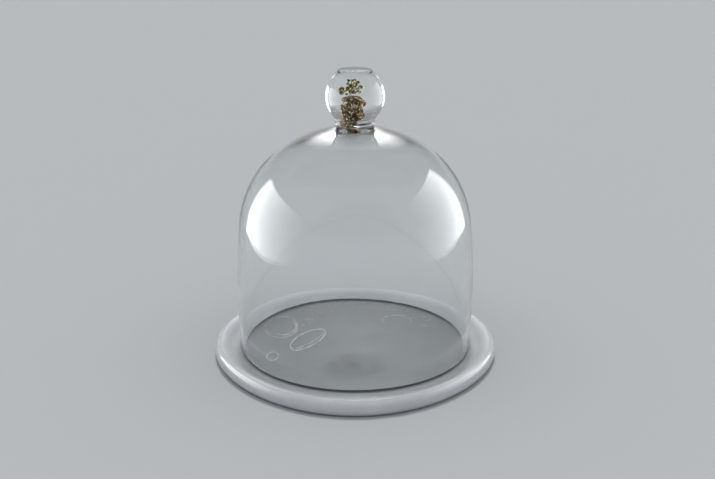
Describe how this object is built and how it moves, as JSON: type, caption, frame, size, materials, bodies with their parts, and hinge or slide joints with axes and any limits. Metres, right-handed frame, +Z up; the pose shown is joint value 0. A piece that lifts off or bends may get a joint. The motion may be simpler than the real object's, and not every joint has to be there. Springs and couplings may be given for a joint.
{
  "type": "cheese dome",
  "caption": "Clear blown glass bell with a solid ball knob holding gold leaf, standing loose on a thick frosted glass plate with a softly raised rim.",
  "frame": {"origin": "middle of the plate's flat underside, on the surface that the plate stands on", "axes": "+Z up along the bell's axis, +X to the right and +Y to the back as the dome is seen from the front"},
  "size_m": [0.2196, 0.226, 0.2214],
  "materials": {
    "frosted_glass": "milky white glass, satin top and a smooth fire-polished edge",
    "clear_glass": "clear and colourless, fire-polished, with a ground flat on the knob and a ground lip",
    "gold_leaf": "crumpled metal leaf seen through glass, warm brown gold",
    "green_gold_leaf": "crumpled metal leaf seen through glass, greenish gold"
  },
  "bodies": {
    "plate": {"plate": "frosted_glass"},
    "dome": {"bell": "clear_glass", "neck_ring": "clear_glass", "knob": "clear_glass", "gold_tail": "gold_leaf", "gold_column": "gold_leaf", "gold_spray": "green_gold_leaf"}
  },
  "joints": [
    {"name": "dome_lift", "type": "slide", "parent": "plate", "child": "dome", "axis": [0, 0, 1], "range_m": [0, 0.25]}
  ]
}
